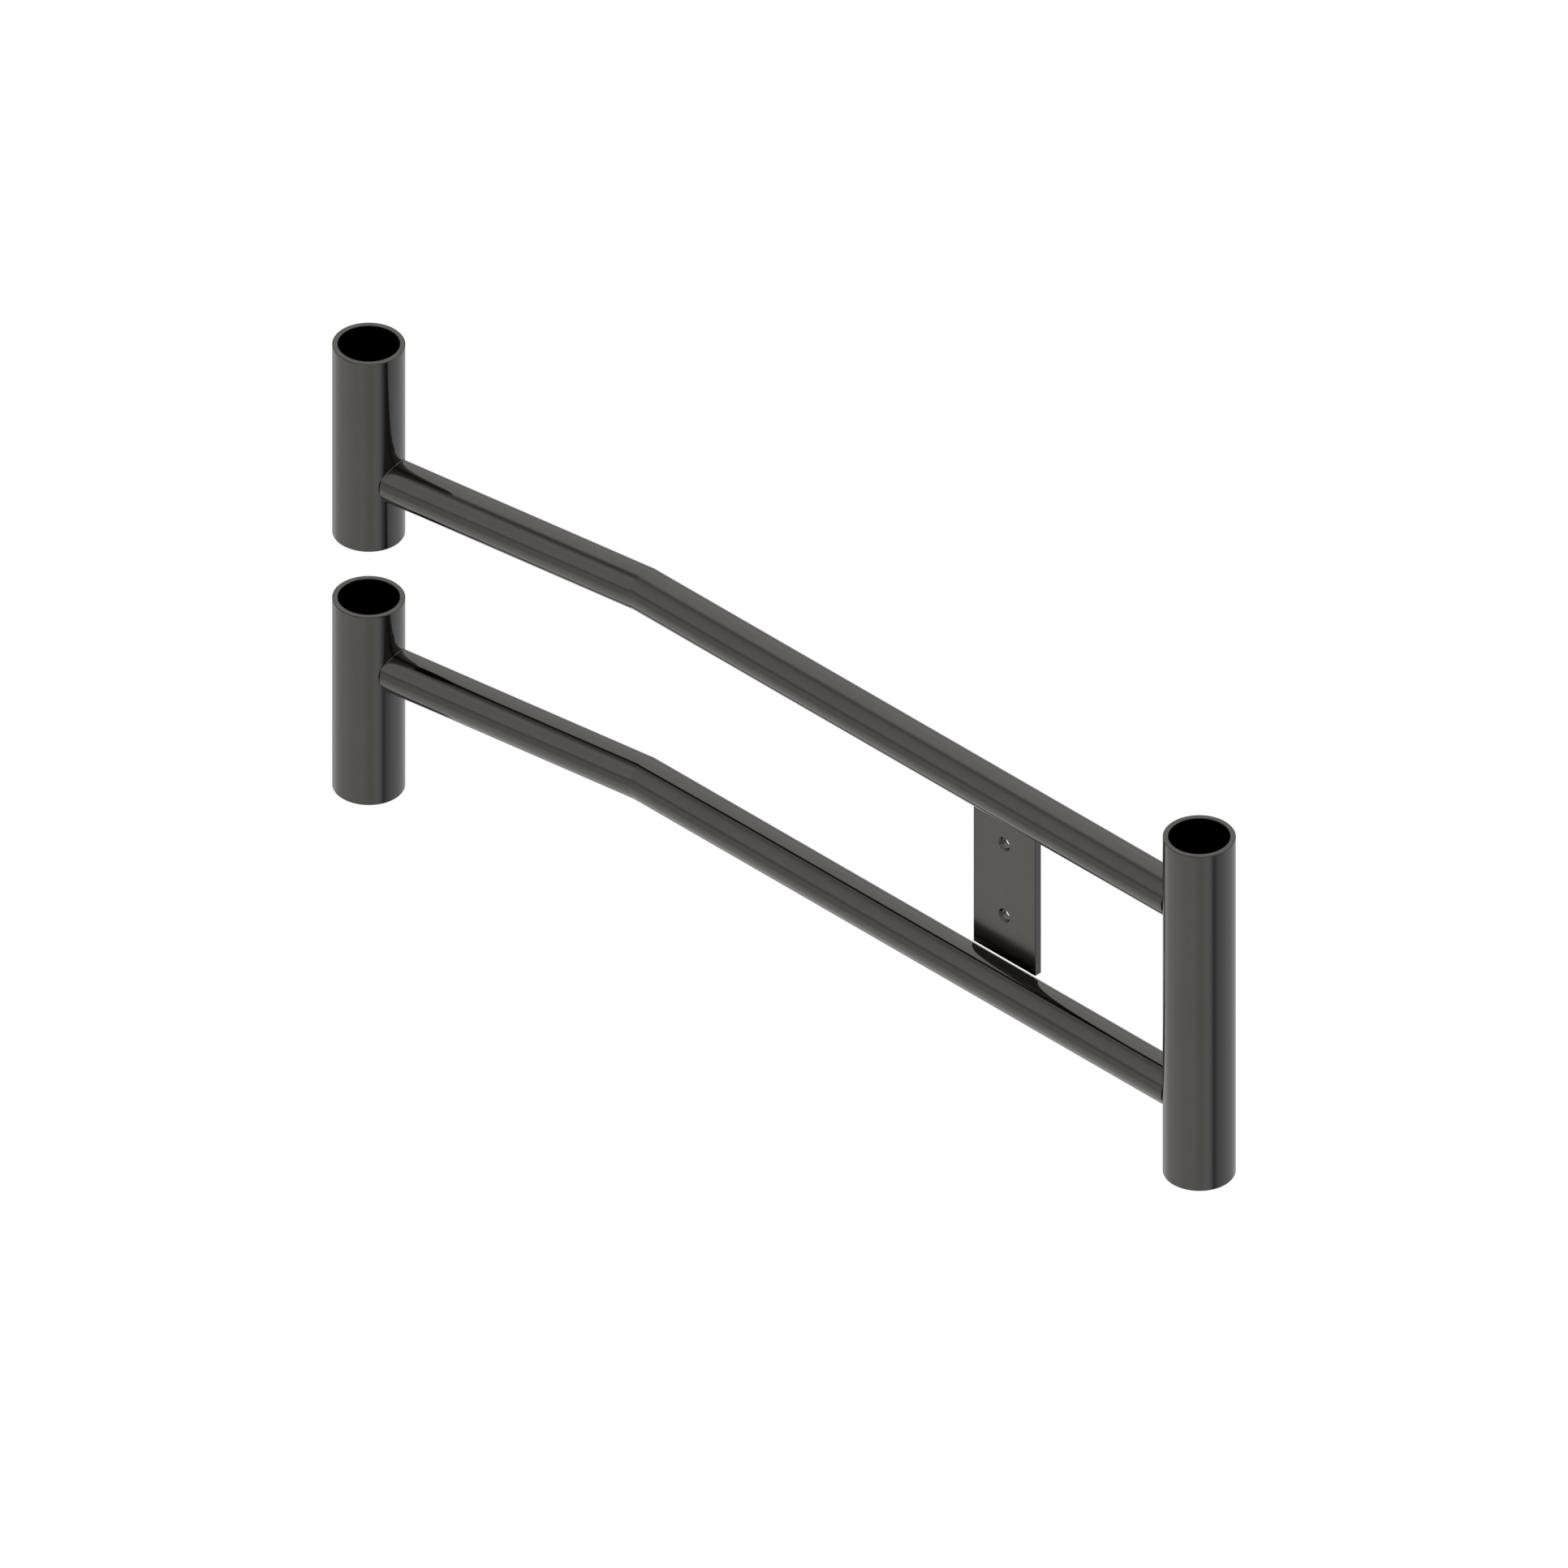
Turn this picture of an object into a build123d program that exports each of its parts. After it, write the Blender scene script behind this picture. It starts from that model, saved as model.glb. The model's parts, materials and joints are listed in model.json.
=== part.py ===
"""A welded link frame of round steel tube.

Two short sleeves stand one above the other on a shared axis, a long sleeve stands at the other end, and two
parallel rails join them. Each rail is two tubes, welded together in a mitre, and both rails turn by the
same slight angle. A flat plate with two chamfered screw holes hangs from the upper rail, close to the long
sleeve.

The origin is on the long sleeve's axis, level with the middle of the gap between the rails. +Z is up along
that axis, and the straight part of the rails runs along -X. The rails turn towards -Y, the side that the
holes' chamfers face.
"""

import os
from math import cos, radians, sin

from build123d import *

# Rounding of the sleeves' and the plate's edges
EDGE_ROUNDING = 0.5

# Sleeves: tube that slides over a round post
SLEEVE_DIAMETER = 50.8
SLEEVE_BORE = 43.0
SHORT_SLEEVE_LENGTH = 159.1
SHORT_SLEEVE_GAP = 55.7
LONG_SLEEVE_LENGTH = 283.5
LONG_SLEEVE_BASE = -140.8

# Rails, one above the other, each of a straight and an angled tube that meet in a mitre. Each square end
# stands RAIL_END from its sleeve's axis, which is inside the sleeve's wall in the middle and leaves a thin
# gap at either side.
RAIL_DIAMETER = 32.0
RAIL_WALL = 2.5
RAIL_SPACING = 160.5
STRAIGHT_RUN = 543.6
ANGLED_RUN = 238.9
MITRE_ANGLE = 8.0
RAIL_END = 21.4

# Plate: flat bar with two screw holes
PLATE_WIDTH = 60.5
PLATE_HEIGHT = 133.6
PLATE_THICKNESS = 6.0
PLATE_CENTRE_X = -201.0
SCREW_SPACING = 60.6
SCREW_HOLE = 8.5
HOLE_CHAMFER = 1.1
CHAMFER_ANGLE = 90.0

# Welds
WELD_SPAN = 26.0
WELD_WIDTH = 2.0
WELD_TOE = 0.6
MITRE_WELD_WIDTH = 2.0
PLATE_WELD_RISE = 8.0
PLATE_WELD_LEAN = 1.0

# Places worked out from the dimensions above
SLEEVE_RADIUS = SLEEVE_DIAMETER / 2
RAIL_RADIUS = RAIL_DIAMETER / 2
RAIL_HEIGHTS = {"upper": RAIL_SPACING / 2, "lower": -RAIL_SPACING / 2}
ANGLED_DIRECTION = Vector(-cos(radians(MITRE_ANGLE)), -sin(radians(MITRE_ANGLE)))
MITRE_CORNER = Vector(-STRAIGHT_RUN, 0)
MITRE_NORMAL = (ANGLED_DIRECTION + Vector(-1, 0)).normalized()
SHORT_AXIS = MITRE_CORNER + ANGLED_DIRECTION * ANGLED_RUN
PLATE_BACK_Y = RAIL_RADIUS
PLATE_FRONT_Y = PLATE_BACK_Y - PLATE_THICKNESS

os.makedirs("parts", exist_ok=True)


def tube_sleeve(axis, base, length):
    """An open tube with rounded edges, standing on the height base."""
    with BuildPart() as sleeve:
        with BuildSketch(Plane((axis.X, axis.Y, base))):
            Circle(SLEEVE_RADIUS)
            Circle(SLEEVE_BORE / 2, mode=Mode.SUBTRACT)
        extrude(amount=length)
        fillet(sleeve.edges().filter_by(GeomType.CIRCLE), EDGE_ROUNDING)
    return sleeve


def weld_groove(axis, direction, height):
    """What a rail's end leaves free: the sleeve and, where the two touch, the width of their weld."""
    with BuildPart() as groove:
        with BuildSketch(Plane((axis.X, axis.Y, height), x_dir=direction, z_dir=(0, 0, 1))):
            Circle(SLEEVE_RADIUS + WELD_WIDTH)
            Rectangle(4 * SLEEVE_RADIUS, WELD_SPAN, mode=Mode.INTERSECT)
            Circle(SLEEVE_RADIUS)
        extrude(amount=RAIL_DIAMETER, both=True)
    return groove


def whole_rail(height):
    """A rail from sleeve to sleeve, with square ends that are notched where they meet the sleeves."""
    near_end = Vector(-RAIL_END, 0)
    far_end = SHORT_AXIS - ANGLED_DIRECTION * RAIL_END
    grooves = [
        weld_groove(Vector(0, 0), Vector(-1, 0), height).part,
        weld_groove(SHORT_AXIS, -ANGLED_DIRECTION, height).part,
    ]
    with BuildPart() as rail:
        with BuildLine(Plane.XY.offset(height)) as route:
            Polyline(*((point.X, point.Y) for point in (near_end, MITRE_CORNER, far_end)))
        with BuildSketch(Plane((near_end.X, near_end.Y, height), x_dir=(0, 1, 0), z_dir=(-1, 0, 0))):
            Circle(RAIL_RADIUS)
            Circle(RAIL_RADIUS - RAIL_WALL, mode=Mode.SUBTRACT)
        sweep(path=route.wire(), transition=Transition.RIGHT)
        add(grooves, mode=Mode.SUBTRACT)
    return rail


def saddle_weld(axis, direction, height):
    """The two welds, above and below, that join a rail's end to a sleeve, flush with the rail."""
    centre = Vector(axis.X, axis.Y, height)
    across = Plane(centre, x_dir=(-direction.Y, direction.X, 0), z_dir=direction)
    reach = SLEEVE_RADIUS + RAIL_DIAMETER
    with BuildPart() as weld:
        with Locations(centre):
            Cylinder(SLEEVE_RADIUS, 2 * RAIL_DIAMETER)
        with BuildSketch(across):
            Circle(RAIL_RADIUS)
        extrude(amount=reach)
        saddle = weld.edges().filter_by(GeomType.CIRCLE, reverse=True).filter_by(GeomType.LINE, reverse=True)
        fillet(saddle, WELD_TOE)
        with Locations(centre):
            Cylinder(SLEEVE_RADIUS + WELD_WIDTH, 2 * RAIL_DIAMETER, mode=Mode.INTERSECT)
            Cylinder(SLEEVE_RADIUS, 2 * RAIL_DIAMETER, mode=Mode.SUBTRACT)
        with BuildSketch(across):
            Circle(RAIL_RADIUS - RAIL_WALL)
        extrude(amount=reach, mode=Mode.SUBTRACT)
        with BuildSketch(across):
            Rectangle(WELD_SPAN, 2 * RAIL_DIAMETER)
        extrude(amount=reach, mode=Mode.INTERSECT)
    return weld


# Short sleeves, one above and one below the gap
for label, base in (
    ("upper_short_sleeve", SHORT_SLEEVE_GAP / 2),
    ("lower_short_sleeve", -SHORT_SLEEVE_GAP / 2 - SHORT_SLEEVE_LENGTH),
):
    short_sleeve = tube_sleeve(SHORT_AXIS, base, SHORT_SLEEVE_LENGTH)
    short_sleeve.part.label = label
    export_step(short_sleeve.part, f"parts/{label}.step")

# Long sleeve, with both rails on it
long_sleeve = tube_sleeve(Vector(0, 0), LONG_SLEEVE_BASE, LONG_SLEEVE_LENGTH)
long_sleeve.part.label = "long_sleeve"
export_step(long_sleeve.part, "parts/long_sleeve.step")

# Rails and their welds
for side, height in RAIL_HEIGHTS.items():
    rail = whole_rail(height).part
    mitre = Vector(MITRE_CORNER.X, MITRE_CORNER.Y, height)
    straight_end = Plane(mitre - MITRE_NORMAL * MITRE_WELD_WIDTH / 2, z_dir=MITRE_NORMAL)
    angled_end = Plane(mitre + MITRE_NORMAL * MITRE_WELD_WIDTH / 2, z_dir=MITRE_NORMAL)

    with BuildPart() as straight_rail:
        add(rail)
        split(bisect_by=straight_end, keep=Keep.BOTTOM)
    straight_rail.part.label = f"{side}_straight_rail"
    export_step(straight_rail.part, f"parts/{side}_straight_rail.step")

    with BuildPart() as angled_rail:
        add(rail)
        split(bisect_by=angled_end, keep=Keep.TOP)
    angled_rail.part.label = f"{side}_angled_rail"
    export_step(angled_rail.part, f"parts/{side}_angled_rail.step")

    with BuildPart() as mitre_weld:
        add(rail)
        split(bisect_by=straight_end, keep=Keep.TOP)
        split(bisect_by=angled_end, keep=Keep.BOTTOM)
    mitre_weld.part.label = f"{side}_mitre_weld"
    export_step(mitre_weld.part, f"parts/{side}_mitre_weld.step")

    long_weld = saddle_weld(Vector(0, 0), Vector(-1, 0), height)
    long_weld.part.label = f"{side}_long_weld"
    export_step(long_weld.part, f"parts/{side}_long_weld.step")

    short_weld = saddle_weld(SHORT_AXIS, -ANGLED_DIRECTION, height)
    short_weld.part.label = f"{side}_short_weld"
    export_step(short_weld.part, f"parts/{side}_short_weld.step")

# Plate, flush with the back of the rails, the chamfers of its holes facing -Y
with BuildPart() as screw_plate:
    with BuildSketch(Plane((PLATE_CENTRE_X, PLATE_BACK_Y, 0), x_dir=(1, 0, 0), z_dir=(0, -1, 0))):
        Rectangle(PLATE_WIDTH, PLATE_HEIGHT)
    extrude(amount=PLATE_THICKNESS)
    upright_edges = screw_plate.edges().filter_by(Axis.Z)
    bottom_edges = screw_plate.edges().group_by(Axis.Z)[0]
    fillet(upright_edges + bottom_edges, EDGE_ROUNDING)
    with Locations(Plane((PLATE_CENTRE_X, PLATE_FRONT_Y, 0), x_dir=(1, 0, 0), z_dir=(0, -1, 0))):
        with GridLocations(0, SCREW_SPACING, 1, 2):
            CounterSinkHole(SCREW_HOLE / 2, SCREW_HOLE / 2 + HOLE_CHAMFER, counter_sink_angle=CHAMFER_ANGLE)
screw_plate.part.label = "screw_plate"
export_step(screw_plate.part, "parts/screw_plate.step")

# Weld that fills the notch between the plate's top edge and the upper rail
notch_floor = PLATE_HEIGHT / 2
with BuildPart() as plate_weld:
    with BuildSketch(Plane((PLATE_CENTRE_X, 0, 0), x_dir=(0, 1, 0), z_dir=(1, 0, 0))):
        with BuildLine():
            Polyline(
                (PLATE_FRONT_Y, notch_floor),
                (PLATE_BACK_Y, notch_floor),
                (PLATE_BACK_Y - PLATE_WELD_LEAN, notch_floor + PLATE_WELD_RISE),
                (PLATE_FRONT_Y, notch_floor + PLATE_WELD_RISE),
                close=True,
            )
        make_face()
        with Locations((0, RAIL_HEIGHTS["upper"])):
            Circle(RAIL_RADIUS, mode=Mode.SUBTRACT)
    extrude(amount=PLATE_WIDTH / 2, both=True)
plate_weld.part.label = "plate_weld"
export_step(plate_weld.part, "parts/plate_weld.step")
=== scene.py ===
"""Looks of the welded link frame: polished dark gunmetal in a softly lit studio.

The studio's light isn't even: it is fitted to what the frame reflects in the photo.
"""

import json
import math

import bpy
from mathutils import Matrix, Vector


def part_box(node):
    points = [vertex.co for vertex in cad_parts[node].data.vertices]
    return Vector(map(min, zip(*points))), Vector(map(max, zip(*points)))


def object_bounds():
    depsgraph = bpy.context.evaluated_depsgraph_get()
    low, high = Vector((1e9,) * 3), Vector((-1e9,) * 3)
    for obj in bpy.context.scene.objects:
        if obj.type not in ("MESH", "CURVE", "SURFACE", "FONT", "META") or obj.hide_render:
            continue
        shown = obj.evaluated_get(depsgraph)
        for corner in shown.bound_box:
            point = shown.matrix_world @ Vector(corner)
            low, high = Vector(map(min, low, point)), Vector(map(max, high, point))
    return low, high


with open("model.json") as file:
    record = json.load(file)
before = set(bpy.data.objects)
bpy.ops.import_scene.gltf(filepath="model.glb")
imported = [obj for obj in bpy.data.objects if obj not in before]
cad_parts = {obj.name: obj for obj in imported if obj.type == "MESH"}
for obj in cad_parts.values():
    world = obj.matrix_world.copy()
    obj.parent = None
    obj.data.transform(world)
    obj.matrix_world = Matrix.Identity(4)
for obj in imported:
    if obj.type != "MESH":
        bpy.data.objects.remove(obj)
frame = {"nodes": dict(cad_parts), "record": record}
cad_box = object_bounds()


# ---------------------------------------------------------------- node helpers

def link(tree, source, target):
    tree.links.new(source, target)


def maths(tree, operation, *values):
    """A Math node; each value is a number or another node's output."""
    node = tree.nodes.new("ShaderNodeMath")
    node.operation = operation
    for socket, value in zip(node.inputs, values):
        if isinstance(value, (int, float)):
            socket.default_value = value
        else:
            link(tree, value, socket)
    return node.outputs[0]


def smooth_step(tree, value, start, end, low, high):
    """A smooth change from low to high as value goes from start to end."""
    node = tree.nodes.new("ShaderNodeMapRange")
    node.interpolation_type = "SMOOTHSTEP"
    link(tree, value, node.inputs["Value"])
    node.inputs["From Min"].default_value = start
    node.inputs["From Max"].default_value = end
    node.inputs["To Min"].default_value = low
    node.inputs["To Max"].default_value = high
    return node.outputs["Result"]


def bell(tree, value, centre, half_width):
    """1 at centre, falling smoothly to 0 at half_width either side."""
    distance = maths(tree, "ABSOLUTE", maths(tree, "SUBTRACT", value, centre))
    return smooth_step(tree, distance, 0.0, half_width, 1.0, 0.0)


def bell_around(tree, azimuth, centre, half_width):
    """The same for an azimuth in degrees, where 180 and -180 are one direction."""
    offset = maths(tree, "WRAP", maths(tree, "SUBTRACT", azimuth, centre), 180.0, -180.0)
    return bell(tree, offset, 0.0, half_width)


def darken(tree, light, mask, depth):
    """Light less the share depth of it where mask is 1. Depth is a number or a node's output."""
    kept = maths(tree, "SUBTRACT", 1.0, maths(tree, "MULTIPLY", mask, depth))
    return maths(tree, "MULTIPLY", light, kept)


def mix(tree, factor, first, second):
    """The number first turning into second as factor goes from 0 to 1. Each may be a node's output."""
    node = tree.nodes.new("ShaderNodeMix")
    node.data_type = "FLOAT"
    for name, value in (("Factor", factor), ("A", first), ("B", second)):
        socket = node.inputs[name]
        if isinstance(value, (int, float)):
            socket.default_value = value
        else:
            link(tree, value, socket)
    return node.outputs["Result"]


# A Mix node's sockets for colours, which share their names with those for numbers
FIRST_COLOUR = 6
SECOND_COLOUR = 7
MIXED_COLOUR = 2


def mix_colour(tree, factor, first, second):
    """The same for colours. Each is a tuple or a node's output."""
    node = tree.nodes.new("ShaderNodeMix")
    node.data_type = "RGBA"
    link(tree, factor, node.inputs[0])
    for index, colour in ((FIRST_COLOUR, first), (SECOND_COLOUR, second)):
        socket = node.inputs[index]
        if isinstance(colour, tuple):
            socket.default_value = colour
        else:
            link(tree, colour, socket)
    return node.outputs[MIXED_COLOUR]


WHITE = (1.0, 1.0, 1.0, 1.0)


# ---------------------------------------------------------------- camera

# Directions of an isometric view, down the diagonal of a cube, from +X, -Y and above
BACK = Vector((1, -1, 1)).normalized()
RIGHT = Vector((1, 1, 0)).normalized()
UP = BACK.cross(RIGHT)

VIEW_WIDTH = 1.0859
VIEW_DROP = 0.0188
CAMERA_DISTANCE = 3.0
CLIP_DISTANCE = 3 * CAMERA_DISTANCE


def add_camera():
    """Parallel projection, aimed a little below the middle of the frame."""
    long_low, long_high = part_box("long_sleeve")
    short_low, short_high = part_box("upper_short_sleeve")
    bottom = (long_low + long_high) / 2
    bottom.z = long_low.z
    top = (short_low + short_high) / 2
    top.z = short_high.z
    middle = (top + bottom) / 2

    data = bpy.data.cameras.new("camera")
    data.type = "ORTHO"
    data.ortho_scale = VIEW_WIDTH
    data.clip_end = CLIP_DISTANCE
    camera = bpy.data.objects.new("camera", data)
    camera.location = middle - UP * VIEW_DROP + BACK * CAMERA_DISTANCE
    camera.rotation_mode = "QUATERNION"
    camera.rotation_quaternion = (-BACK).to_track_quat("-Z", "Y")
    bpy.context.scene.collection.objects.link(camera)
    bpy.context.scene.camera = camera


# ---------------------------------------------------------------- studio

# The studio is described by direction, as azimuth and elevation in degrees. Azimuth 0 is +X and 90 is +Y.
# Its values come from a least-squares fit to the brightness of reflections in the photo, and were then
# rounded. The last two dim patches were set against the photo instead, and the cooler side was
# worked out from colours measured in it.

# Floor: pale at its centre, fading to a dimmer skirting, with a soft key light on one side
FLOOR_LIGHT = 0.97
SKIRTING_LIGHT = 0.69
FLOOR_EDGE = (-38.5, -21.0)
CENTRE_LIGHT = 0.1
CENTRE_EDGE = (-59.0, -38.0)
KEY_AZIMUTH = -126.0
KEY_HALF_WIDTH = 45.0
KEY_LIGHT = 0.09
# Dim patches of the lower half: azimuth, half-width and how much of the light is missing
LOWER_PATCHES = (
    (-40.0, 30.0, 0.15),
    (3.0, 13.5, 0.53),
    (12.0, 37.0, 0.38),
    (50.0, 90.0, 0.12),
    (125.0, 55.0, 0.3),
    (158.0, 20.0, 0.42),
)

# Walls: a plain one, and one that is a bright panel, with a dim seam between them
WALL_LIGHT = 0.97
PANEL_LIGHT = (0.84, 1.21)
PANEL_RISE = (1.0, 45.0)
PANEL_EDGE = (-4.0, -13.0)
SEAM_AZIMUTH = -157.5
SEAM_HALF_WIDTH = 19.5
SEAM_RISE = (46.0, 60.0)
SEAM_DEPTH = (0.3, 0.64)
SHADE_HALF_WIDTH = 57.0
SHADE_RISE = (35.5, 49.0)
SHADE_DEPTH = 0.16

# The light from one side is a little cooler
COOL_LIGHT = (0.967, 1.012, 1.115, 1.0)
COOL_AZIMUTH = 25.0
COOL_EDGE = (46.0, 68.0)

# The two halves blend at the horizon, with a dim band a little above it
HORIZON = 3.3
HORIZON_HALF_WIDTH = 10.0
HORIZON_DEPTH = 0.41
HORIZON_BLEND = 3.5


def degrees(tree, angle):
    return maths(tree, "MULTIPLY", angle, 180 / math.pi)


def lower_half(tree, azimuth, elevation):
    """Light from the floor and the lower part of the walls."""
    floor = smooth_step(tree, elevation, *FLOOR_EDGE, FLOOR_LIGHT, SKIRTING_LIGHT)
    centre = smooth_step(tree, elevation, *CENTRE_EDGE, CENTRE_LIGHT, 0.0)
    key = maths(tree, "MULTIPLY", bell_around(tree, azimuth, KEY_AZIMUTH, KEY_HALF_WIDTH), KEY_LIGHT)
    light = maths(tree, "MULTIPLY", maths(tree, "ADD", floor, centre), maths(tree, "ADD", key, 1.0))
    for patch, half_width, depth in LOWER_PATCHES:
        light = darken(tree, light, bell_around(tree, azimuth, patch, half_width), depth)
    return light


def upper_half(tree, x, y, elevation):
    """A wall and a brighter panel, which meet in a dim seam that runs up over the ceiling."""
    across = maths(tree, "MULTIPLY", x, -math.sin(math.radians(SEAM_AZIMUTH)))
    along = maths(tree, "MULTIPLY", y, math.cos(math.radians(SEAM_AZIMUTH)))
    from_seam = degrees(tree, maths(tree, "ARCSINE", maths(tree, "ADD", across, along)))
    panel = smooth_step(tree, elevation, *PANEL_RISE, *PANEL_LIGHT)
    light = mix(tree, smooth_step(tree, from_seam, *PANEL_EDGE, 0.0, 1.0), WALL_LIGHT, panel)
    depth = smooth_step(tree, elevation, *SEAM_RISE, *SEAM_DEPTH)
    light = darken(tree, light, bell(tree, from_seam, 0.0, SEAM_HALF_WIDTH), depth)
    shade = smooth_step(tree, elevation, *SHADE_RISE, SHADE_DEPTH, 0.0)
    return darken(tree, light, bell(tree, from_seam, 0.0, SHADE_HALF_WIDTH), shade)


def studio_world():
    """A soft studio all round: pale floor, walls and a bright panel, with dim seams between them."""
    world = bpy.data.worlds.new("studio")
    world.use_nodes = True
    tree = world.node_tree
    tree.nodes.clear()
    direction = tree.nodes.new("ShaderNodeTexCoord")
    parts = tree.nodes.new("ShaderNodeSeparateXYZ")
    link(tree, direction.outputs["Generated"], parts.inputs[0])
    x, y, z = parts.outputs
    elevation = degrees(tree, maths(tree, "ARCSINE", z))
    azimuth = degrees(tree, maths(tree, "ARCTAN2", y, x))

    above = smooth_step(tree, elevation, -HORIZON_BLEND, HORIZON_BLEND, 0.0, 1.0)
    light = mix(tree, above, lower_half(tree, azimuth, elevation), upper_half(tree, x, y, elevation))
    light = darken(tree, light, bell(tree, elevation, HORIZON, HORIZON_HALF_WIDTH), HORIZON_DEPTH)

    from_cool = maths(tree, "WRAP", maths(tree, "SUBTRACT", azimuth, COOL_AZIMUTH), 180.0, -180.0)
    cool = smooth_step(tree, maths(tree, "ABSOLUTE", from_cool), *COOL_EDGE, 1.0, 0.0)
    cool = maths(tree, "MULTIPLY", cool, maths(tree, "SUBTRACT", 1.0, above))

    # The camera itself sees a plain white studio behind the floor
    path = tree.nodes.new("ShaderNodeLightPath")
    background = tree.nodes.new("ShaderNodeBackground")
    seen = path.outputs["Is Camera Ray"]
    tint = maths(tree, "MULTIPLY", cool, maths(tree, "SUBTRACT", 1.0, seen))
    link(tree, mix_colour(tree, tint, WHITE, COOL_LIGHT), background.inputs["Color"])
    link(tree, mix(tree, seen, light, 1.0), background.inputs["Strength"])
    output = tree.nodes.new("ShaderNodeOutputWorld")
    link(tree, background.outputs[0], output.inputs["Surface"])
    bpy.context.scene.world = world


FLOOR_SIZE = 6.0
FLOOR_DROP = 0.25


def add_floor():
    """A plain white floor that glows evenly, a little below the frame. Reflections don't see it."""
    z = cad_box[0].z - FLOOR_DROP
    corners = [(x * FLOOR_SIZE, y * FLOOR_SIZE, z) for x, y in ((-1, -1), (1, -1), (1, 1), (-1, 1))]
    mesh = bpy.data.meshes.new("floor")
    mesh.from_pydata(corners, [], [(0, 1, 2, 3)])
    floor = bpy.data.objects.new("floor", mesh)
    floor.visible_glossy = False
    bpy.context.scene.collection.objects.link(floor)
    material = bpy.data.materials.new("floor_white")
    material.use_nodes = True
    tree = material.node_tree
    tree.nodes.clear()
    glow = tree.nodes.new("ShaderNodeEmission")
    glow.inputs["Color"].default_value = WHITE
    output = tree.nodes.new("ShaderNodeOutputMaterial")
    link(tree, glow.outputs[0], output.inputs["Surface"])
    mesh.materials.append(material)


# ---------------------------------------------------------------- metal

# Worked out from the brightness and the colours measured in the photo
BASE_COLOUR = (0.0925, 0.0883, 0.0797)

# Grain: how finely the polishing lines sit across it and along it, in lines per metre
ACROSS_GRAIN = 2600.0
ALONG_GRAIN = 45.0
SMUDGE_SCALE = 16.0
MOTTLE_SCALE = 190.0
SPECK_SCALE = 1900.0
RIPPLE_SCALE = 260.0

# Dullness: how much of it is smudges and how much lines, and what share of the roughness it gives
SMUDGES_IN_DULLNESS = 0.6
LINES_IN_DULLNESS = 0.4
DULLNESS_RANGE = (0.3, 0.7)
ROUGHNESS_SHARES = (0.75, 1.25)
SPECK_RANGE = (0.7, 0.78)
SPECK_ROUGHNESS = 0.1

# Shade: how much of it follows the dullness and how much the mottle, and its two ends
DULLNESS_IN_SHADE = 0.7
MOTTLE_IN_SHADE = 0.3
TONE_RANGE = (0.35, 0.65)
LIGHTEST = 1.03
DARKEST = 0.97

# Edges: painted shade, a thin dark line along them where the metal's colour is darkened
EDGE_SHADE_TURN = (0.93, 0.998)
PAINTED_EDGE_SHADE_DEPTH = 0.85
PAINTED_EDGE_SHADE_COLOUR = (0.012, 0.0115, 0.0105, 1.0)
EDGE_SHADE_SAMPLES = 8


def noise(tree, place, scale, detail, roughness=0.5):
    """Noise of about 0 to 1 with an average of 0.5."""
    node = tree.nodes.new("ShaderNodeTexNoise")
    link(tree, place, node.inputs["Vector"])
    node.inputs["Scale"].default_value = scale
    node.inputs["Detail"].default_value = detail
    node.inputs["Roughness"].default_value = roughness
    return node.outputs["Fac"]


def stretched(tree, place, scale):
    """The place with each axis scaled by its own number."""
    node = tree.nodes.new("ShaderNodeMapping")
    node.inputs["Scale"].default_value = scale
    link(tree, place, node.inputs["Vector"])
    return node.outputs[0]


def painted_edge_shade_mask(tree, reach):
    """Where shade is painted: 1 in a thin line along the piece's own edges, 0 further away than reach."""
    bevel = tree.nodes.new("ShaderNodeBevel")
    bevel.samples = EDGE_SHADE_SAMPLES
    bevel.inputs["Radius"].default_value = reach
    surface = tree.nodes.new("ShaderNodeNewGeometry")
    turn = tree.nodes.new("ShaderNodeVectorMath")
    turn.operation = "DOT_PRODUCT"
    link(tree, bevel.outputs[0], turn.inputs[0])
    link(tree, surface.outputs["Normal"], turn.inputs[1])
    return smooth_step(tree, turn.outputs["Value"], *EDGE_SHADE_TURN, 1.0, 0.0)


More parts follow.
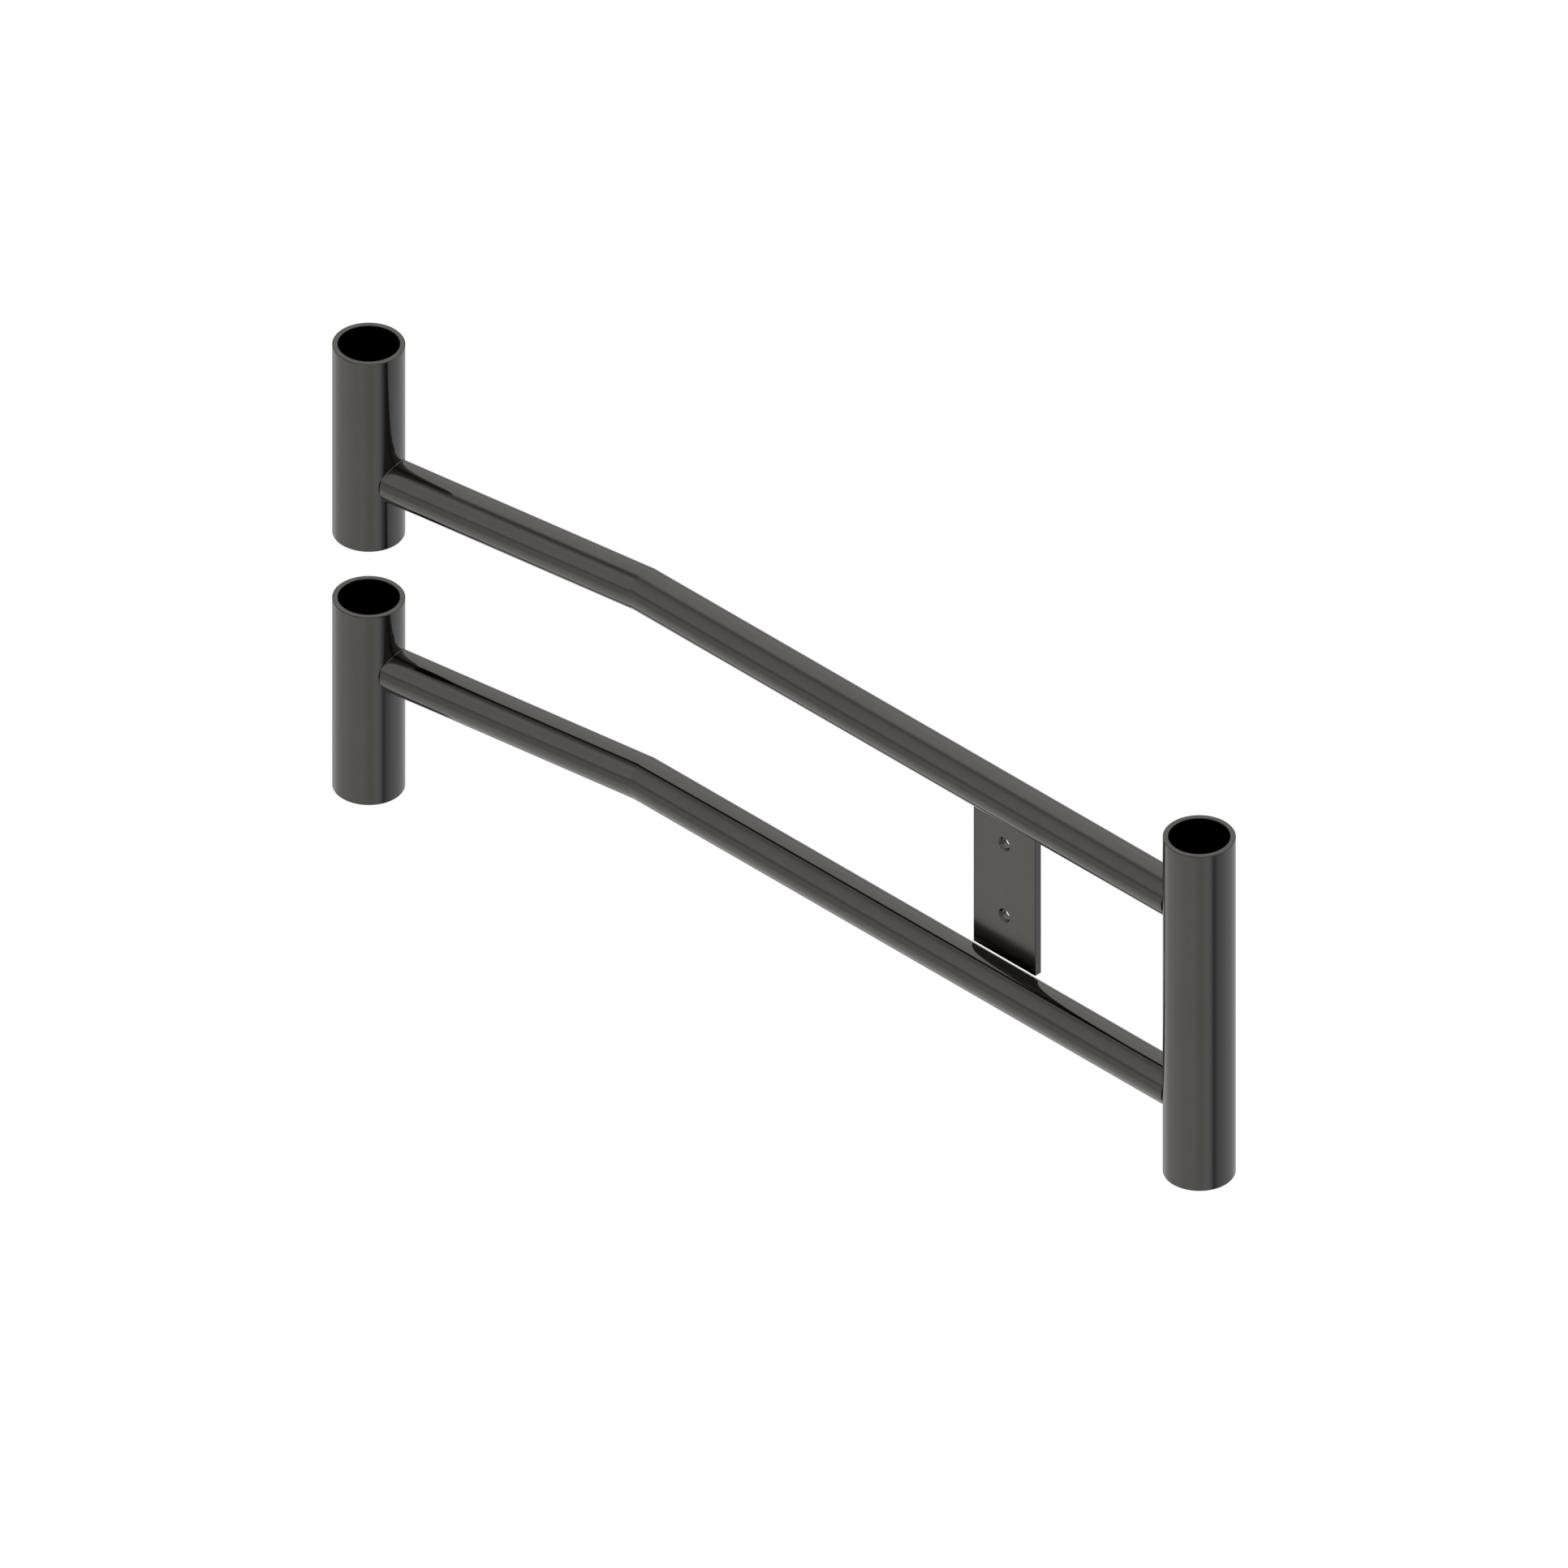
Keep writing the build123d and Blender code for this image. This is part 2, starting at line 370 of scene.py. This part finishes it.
def gunmetal(name, grain, roughness, edge_shade_reach, grain_depth, mottle_depth, ripple_depth=0.0):
    """Polished dark metal with fine polishing lines, smudges, a faint mottle, specks and painted shade
    along its edges.

    Grain holds each axis's lines per metre. The reach of the painted edge shade and the depths of the
    relief are in metres.
    A reach of 0 paints no shade on the edges, as on the rails, whose tubes meet without a seam.
    """
    material = bpy.data.materials.new(name)
    material.use_nodes = True
    tree = material.node_tree
    shader = tree.nodes["Principled BSDF"]
    shader.inputs["Metallic"].default_value = 1.0
    place = tree.nodes.new("ShaderNodeTexCoord").outputs["Object"]

    lines = noise(tree, stretched(tree, place, grain), scale=1.0, detail=2.0)
    smudges = noise(tree, place, SMUDGE_SCALE, detail=3.0, roughness=0.6)
    mottle = noise(tree, place, MOTTLE_SCALE, detail=2.0)
    specks = smooth_step(tree, noise(tree, place, SPECK_SCALE, detail=1.0), *SPECK_RANGE, 0.0, 1.0)

    # Smudges and lines dull the polish a little, and the metal is a shade darker where it is dull
    from_smudges = maths(tree, "MULTIPLY", smudges, SMUDGES_IN_DULLNESS)
    from_lines = maths(tree, "MULTIPLY", lines, LINES_IN_DULLNESS)
    dull = maths(tree, "ADD", from_smudges, from_lines)
    smoothest, roughest = (share * roughness for share in ROUGHNESS_SHARES)
    spread = smooth_step(tree, dull, *DULLNESS_RANGE, smoothest, roughest)
    spread = maths(tree, "ADD", spread, maths(tree, "MULTIPLY", specks, SPECK_ROUGHNESS))
    link(tree, spread, shader.inputs["Roughness"])
    light = tuple(LIGHTEST * channel for channel in BASE_COLOUR)
    dark = tuple(DARKEST * channel for channel in BASE_COLOUR)
    from_dullness = maths(tree, "MULTIPLY", dull, DULLNESS_IN_SHADE)
    from_mottle = maths(tree, "MULTIPLY", mottle, MOTTLE_IN_SHADE)
    shade = smooth_step(tree, maths(tree, "ADD", from_dullness, from_mottle), *TONE_RANGE, 0.0, 1.0)
    metal = mix_colour(tree, shade, (*light, 1.0), (*dark, 1.0))
    # Painted shade: the metal's colour is darkened in a thin line along the piece's edges
    if edge_shade_reach:
        painted_edge_shade = maths(tree, "MULTIPLY", painted_edge_shade_mask(tree, edge_shade_reach), PAINTED_EDGE_SHADE_DEPTH)
        metal = mix_colour(tree, painted_edge_shade, metal, PAINTED_EDGE_SHADE_COLOUR)
    link(tree, metal, shader.inputs["Base Color"])

    height = maths(tree, "MULTIPLY", lines, grain_depth)
    height = maths(tree, "ADD", height, maths(tree, "MULTIPLY", mottle, mottle_depth))
    if ripple_depth:
        ripples = noise(tree, place, RIPPLE_SCALE, detail=0.0)
        height = maths(tree, "ADD", height, maths(tree, "MULTIPLY", ripples, ripple_depth))
    bump = tree.nodes.new("ShaderNodeBump")
    bump.inputs["Distance"].default_value = 1.0
    link(tree, height, bump.inputs["Height"])
    link(tree, bump.outputs[0], shader.inputs["Normal"])
    return material


UPRIGHT_GRAIN = (ACROSS_GRAIN, ACROSS_GRAIN, ALONG_GRAIN)
LEVEL_GRAIN = (ALONG_GRAIN, ACROSS_GRAIN, ACROSS_GRAIN)
EVEN_GRAIN = (ACROSS_GRAIN, ACROSS_GRAIN, ACROSS_GRAIN)

METALS = {
    "sleeve_metal": gunmetal(
        "sleeve_metal", UPRIGHT_GRAIN,
        roughness=0.1, edge_shade_reach=0.0011, grain_depth=1.2e-7, mottle_depth=3e-7,
    ),
    "rail_metal": gunmetal(
        "rail_metal", LEVEL_GRAIN,
        roughness=0.08, edge_shade_reach=0.0, grain_depth=1.2e-7, mottle_depth=3e-7,
    ),
    "plate_metal": gunmetal(
        "plate_metal", UPRIGHT_GRAIN,
        roughness=0.18, edge_shade_reach=0.0013, grain_depth=1.5e-7, mottle_depth=5e-7,
    ),
    "weld_metal": gunmetal(
        "weld_metal", EVEN_GRAIN,
        roughness=0.14, edge_shade_reach=0.0004, grain_depth=3e-7, mottle_depth=1e-6, ripple_depth=3e-6,
    ),
}

add_camera()
studio_world()
add_floor()
bpy.context.scene.view_settings.view_transform = "Standard"

for part in frame["record"]["subparts"]:
    mesh = frame["nodes"][part["node"]].data
    mesh.materials.clear()
    mesh.materials.append(METALS[part["material_slot"]])
